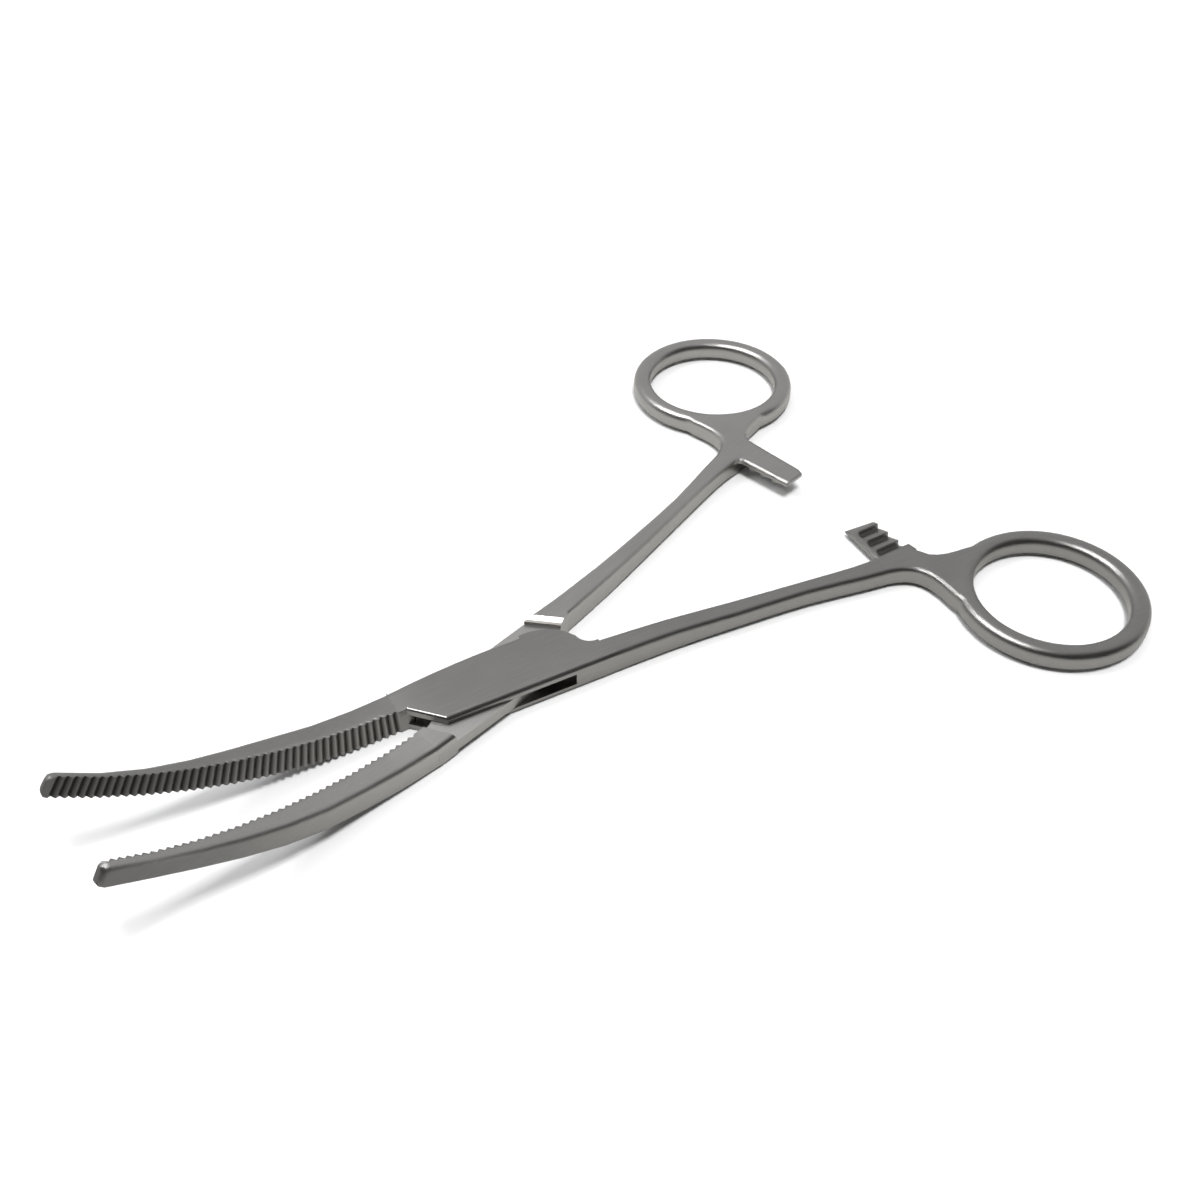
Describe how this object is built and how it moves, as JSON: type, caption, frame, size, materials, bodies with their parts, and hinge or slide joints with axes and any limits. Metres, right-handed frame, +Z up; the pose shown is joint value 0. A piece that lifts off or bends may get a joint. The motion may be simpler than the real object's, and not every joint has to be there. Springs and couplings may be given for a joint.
{
  "type": "hemostat forceps",
  "caption": "Curved haemostatic forceps with a box-lock joint, cross-serrated jaws, an interlocking ratchet and finger rings, standing part open.",
  "frame": {"origin": "on the axis of the pivot, in the plane of the flat underside of the box lock", "axes": "+X from the pivot towards the finger rings, with the jaws towards -X; +Y towards the finger ring of the half that passes through the box; +Z up along the pivot, the way the jaw tips curve"},
  "size_m": [0.1555, 0.11, 0.0181],
  "materials": {
    "female_half": "satin",
    "male_half": "satin",
    "pivot_pin": "satin"
  },
  "bodies": {
    "female_side": {"female_half": "female_half", "pivot_pin": "pivot_pin"},
    "male_side": {"male_half": "male_half"}
  },
  "joints": [
    {"name": "box_lock_pivot", "type": "hinge", "parent": "female_side", "child": "male_side", "pos_m": [0, 0, 0.00215], "axis": [0, 0, 1], "range_deg": [-14.8, 45.2]}
  ]
}
